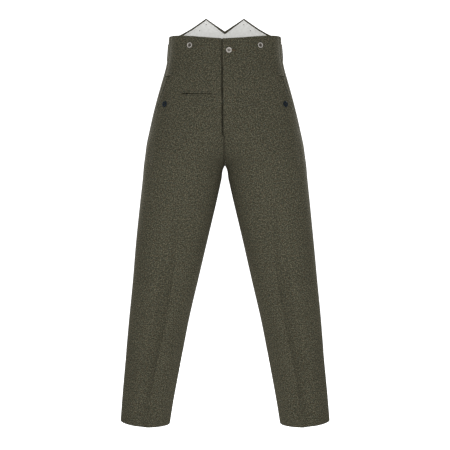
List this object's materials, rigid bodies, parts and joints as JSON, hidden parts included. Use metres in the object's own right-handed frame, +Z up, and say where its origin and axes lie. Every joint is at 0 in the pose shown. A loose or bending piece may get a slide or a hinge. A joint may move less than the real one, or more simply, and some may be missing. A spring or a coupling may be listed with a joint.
{
  "type": "uniform trousers",
  "caption": "High-waisted field-grey wool uniform trousers, filled out as worn, with a fishtail back, buttoned fly, slanted side pockets, watch pocket and pressed creases.",
  "frame": {"origin": "middle axis of the waist, level with the top edge at the centre front, where the wearer's waist holds the trousers up", "axes": "+Z up towards the waist, -Y the wearer's front, +X the wearer's left"},
  "size_m": [0.6076, 0.2536, 1.196],
  "materials": {
    "wool_cloth": "milled woollen cloth, melange of olive, brown and grey fibres, short nap",
    "cotton_lining": "plain woven white cotton",
    "metal_button": "pressed metal dish button, worn satin",
    "dark_button": "dark blue-black moulded button, soft shine",
    "steel_buckle": "stamped steel, dull"
  },
  "bodies": {
    "root": {"front_right": "wool_cloth", "front_left": "wool_cloth", "back_right": "wool_cloth", "back_left": "wool_cloth", "pocket_bearer_right": "wool_cloth", "pocket_bearer_left": "wool_cloth", "watch_pocket_upper_lip": "wool_cloth", "watch_pocket_lower_lip": "wool_cloth", "cinch_strap_right": "wool_cloth", "cinch_strap_left": "wool_cloth", "lining_right": "cotton_lining", "lining_left": "cotton_lining", "waist_button": "metal_button", "brace_button_front_right": "metal_button", "brace_button_front_left": "metal_button", "brace_button_back_inner_right": "metal_button", "brace_button_back_outer_right": "metal_button", "brace_button_back_inner_left": "metal_button", "brace_button_back_outer_left": "metal_button", "pocket_button_right": "dark_button", "pocket_button_left": "dark_button", "cinch_buckle": "steel_buckle"}
  },
  "joints": []
}
